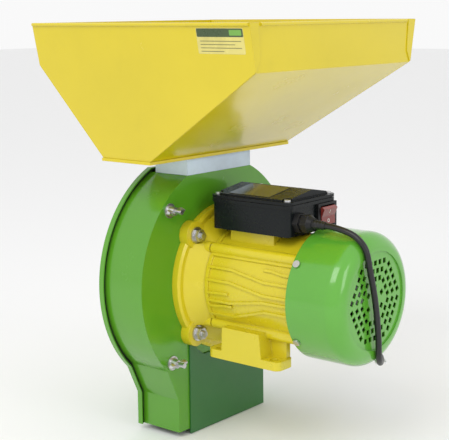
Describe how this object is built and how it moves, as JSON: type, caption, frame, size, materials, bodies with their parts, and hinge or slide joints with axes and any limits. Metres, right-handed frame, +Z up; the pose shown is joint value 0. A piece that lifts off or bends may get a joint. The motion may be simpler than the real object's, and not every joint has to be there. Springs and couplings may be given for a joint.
{
  "type": "hammer mill",
  "caption": "Electric hammer mill: square hopper with sliding gate over a round grinding chamber with discharge chute, driven by a foot-mounted fan-cooled motor.",
  "frame": {"origin": "centre of the four foot holes, on the underside of the motor feet", "axes": "+Z up; the motor shaft lies along Y, the front cover of the chamber faces -Y and the fan +Y; +X is to the left of someone standing behind the fan and facing the chamber"},
  "size_m": [0.3679, 0.3751, 0.4853],
  "materials": {
    "chamber_green": "gloss",
    "cover_green": "gloss",
    "panel_green": "satin",
    "fan_cover_green": "gloss",
    "motor_yellow": "gloss",
    "hopper_yellow": "gloss",
    "zinc": "satin",
    "steel": "satin",
    "cast_grey": "matte",
    "laminated": "matte",
    "winding": "varnished",
    "rubber": "matte",
    "box_black": "gloss",
    "black_plastic": "satin",
    "gate_white": "satin",
    "pale_plastic": "satin",
    "rocker_red": "gloss",
    "plate_silver": "gloss",
    "brass_pins": "satin"
  },
  "bodies": {
    "frame": {"chamber_shell": "chamber_green", "chute_panel": "panel_green", "sieve": "steel", "stator_core": "laminated", "stator_windings": "winding", "drive_bearing": "steel", "rear_bearing": "steel", "shaft_seal": "rubber", "drive_flange": "motor_yellow", "flange_bolts": "zinc", "motor_housing": "motor_yellow", "rear_shield": "cast_grey", "tie_screws": "zinc", "fan_cover": "fan_cover_green", "fan_cover_screws": "zinc", "box_gasket": "rubber", "box_base": "box_black", "lid_gasket": "rubber", "box_lid": "box_black", "lid_plate": "plate_silver", "lid_screws": "zinc", "capacitor": "pale_plastic", "terminal_block": "pale_plastic", "switch_body": "black_plastic", "gland_body": "black_plastic", "gland_nut": "black_plastic", "strain_relief": "rubber", "power_cord": "rubber", "cord_coil": "rubber", "coil_tie": "black_plastic", "plug_body": "black_plastic", "plug_pins": "brass_pins", "hopper_floor": "hopper_yellow", "hopper_side_a": "hopper_yellow", "hopper_side_b": "hopper_yellow", "hopper_front": "hopper_yellow", "hopper_back": "hopper_yellow", "gate_block": "gate_white", "hopper_screws": "zinc"},
    "rotor": {"motor_shaft": "steel", "rotor_core": "laminated", "rotor_hub": "laminated", "hammer_pins": "steel", "rotor_key": "steel", "rotor_nut": "zinc", "cooling_fan": "black_plastic", "fan_clip": "steel"},
    "cover": {"front_cover": "cover_green", "cover_seal": "rubber", "cover_bolts": "zinc"},
    "gate": {"slide_gate": "zinc"},
    "rocker": {"switch_rocker": "rocker_red"},
    "hammer_row_a": {"hammers_a": "steel"},
    "nut_a": {"wing_nut_a": "zinc"},
    "hammer_row_b": {"hammers_b": "steel"},
    "nut_b": {"wing_nut_b": "zinc"},
    "hammer_row_c": {"hammers_c": "steel"},
    "nut_c": {"wing_nut_c": "zinc"},
    "hammer_row_d": {"hammers_d": "steel"},
    "nut_d": {"wing_nut_d": "zinc"}
  },
  "joints": [
    {"name": "rotor_spin", "type": "hinge", "parent": "frame", "child": "rotor", "pos_m": [0, -0.086, 0.08], "axis": [0, 1, 0], "continuous": true},
    {"name": "hammers_a_swing", "type": "hinge", "parent": "rotor", "child": "hammer_row_a", "pos_m": [0.048, -0.115, 0.08], "axis": [0, 1, 0], "range_deg": [-75, 75]},
    {"name": "hammers_b_swing", "type": "hinge", "parent": "rotor", "child": "hammer_row_b", "pos_m": [0, -0.115, 0.128], "axis": [0, 1, 0], "range_deg": [-75, 75]},
    {"name": "hammers_c_swing", "type": "hinge", "parent": "rotor", "child": "hammer_row_c", "pos_m": [-0.048, -0.115, 0.08], "axis": [0, 1, 0], "range_deg": [-75, 75]},
    {"name": "hammers_d_swing", "type": "hinge", "parent": "rotor", "child": "hammer_row_d", "pos_m": [0, -0.115, 0.032], "axis": [0, 1, 0], "range_deg": [-75, 75]},
    {"name": "wing_nut_a_turn", "type": "hinge", "parent": "frame", "child": "nut_a", "pos_m": [0.0898, -0.08, 0.1698], "axis": [0, 1, 0], "continuous": true},
    {"name": "wing_nut_b_turn", "type": "hinge", "parent": "frame", "child": "nut_b", "pos_m": [0.0898, -0.08, -0.0098], "axis": [0, 1, 0], "continuous": true},
    {"name": "wing_nut_c_turn", "type": "hinge", "parent": "frame", "child": "nut_c", "pos_m": [-0.0898, -0.08, 0.1698], "axis": [0, 1, 0], "continuous": true},
    {"name": "wing_nut_d_turn", "type": "hinge", "parent": "frame", "child": "nut_d", "pos_m": [-0.0898, -0.08, -0.0098], "axis": [0, 1, 0], "continuous": true},
    {"name": "cover_lift_off", "type": "slide", "parent": "frame", "child": "cover", "axis": [0, -1, 0], "range_m": [0, 0.09]},
    {"name": "gate_slide", "type": "slide", "parent": "frame", "child": "gate", "axis": [0, -1, 0], "range_m": [0, 0.041]},
    {"name": "rocker_tilt", "type": "hinge", "parent": "frame", "child": "rocker", "pos_m": [-0.025, 0.0485, 0.163], "axis": [1, 0, 0], "range_deg": [0, 20]}
  ]
}
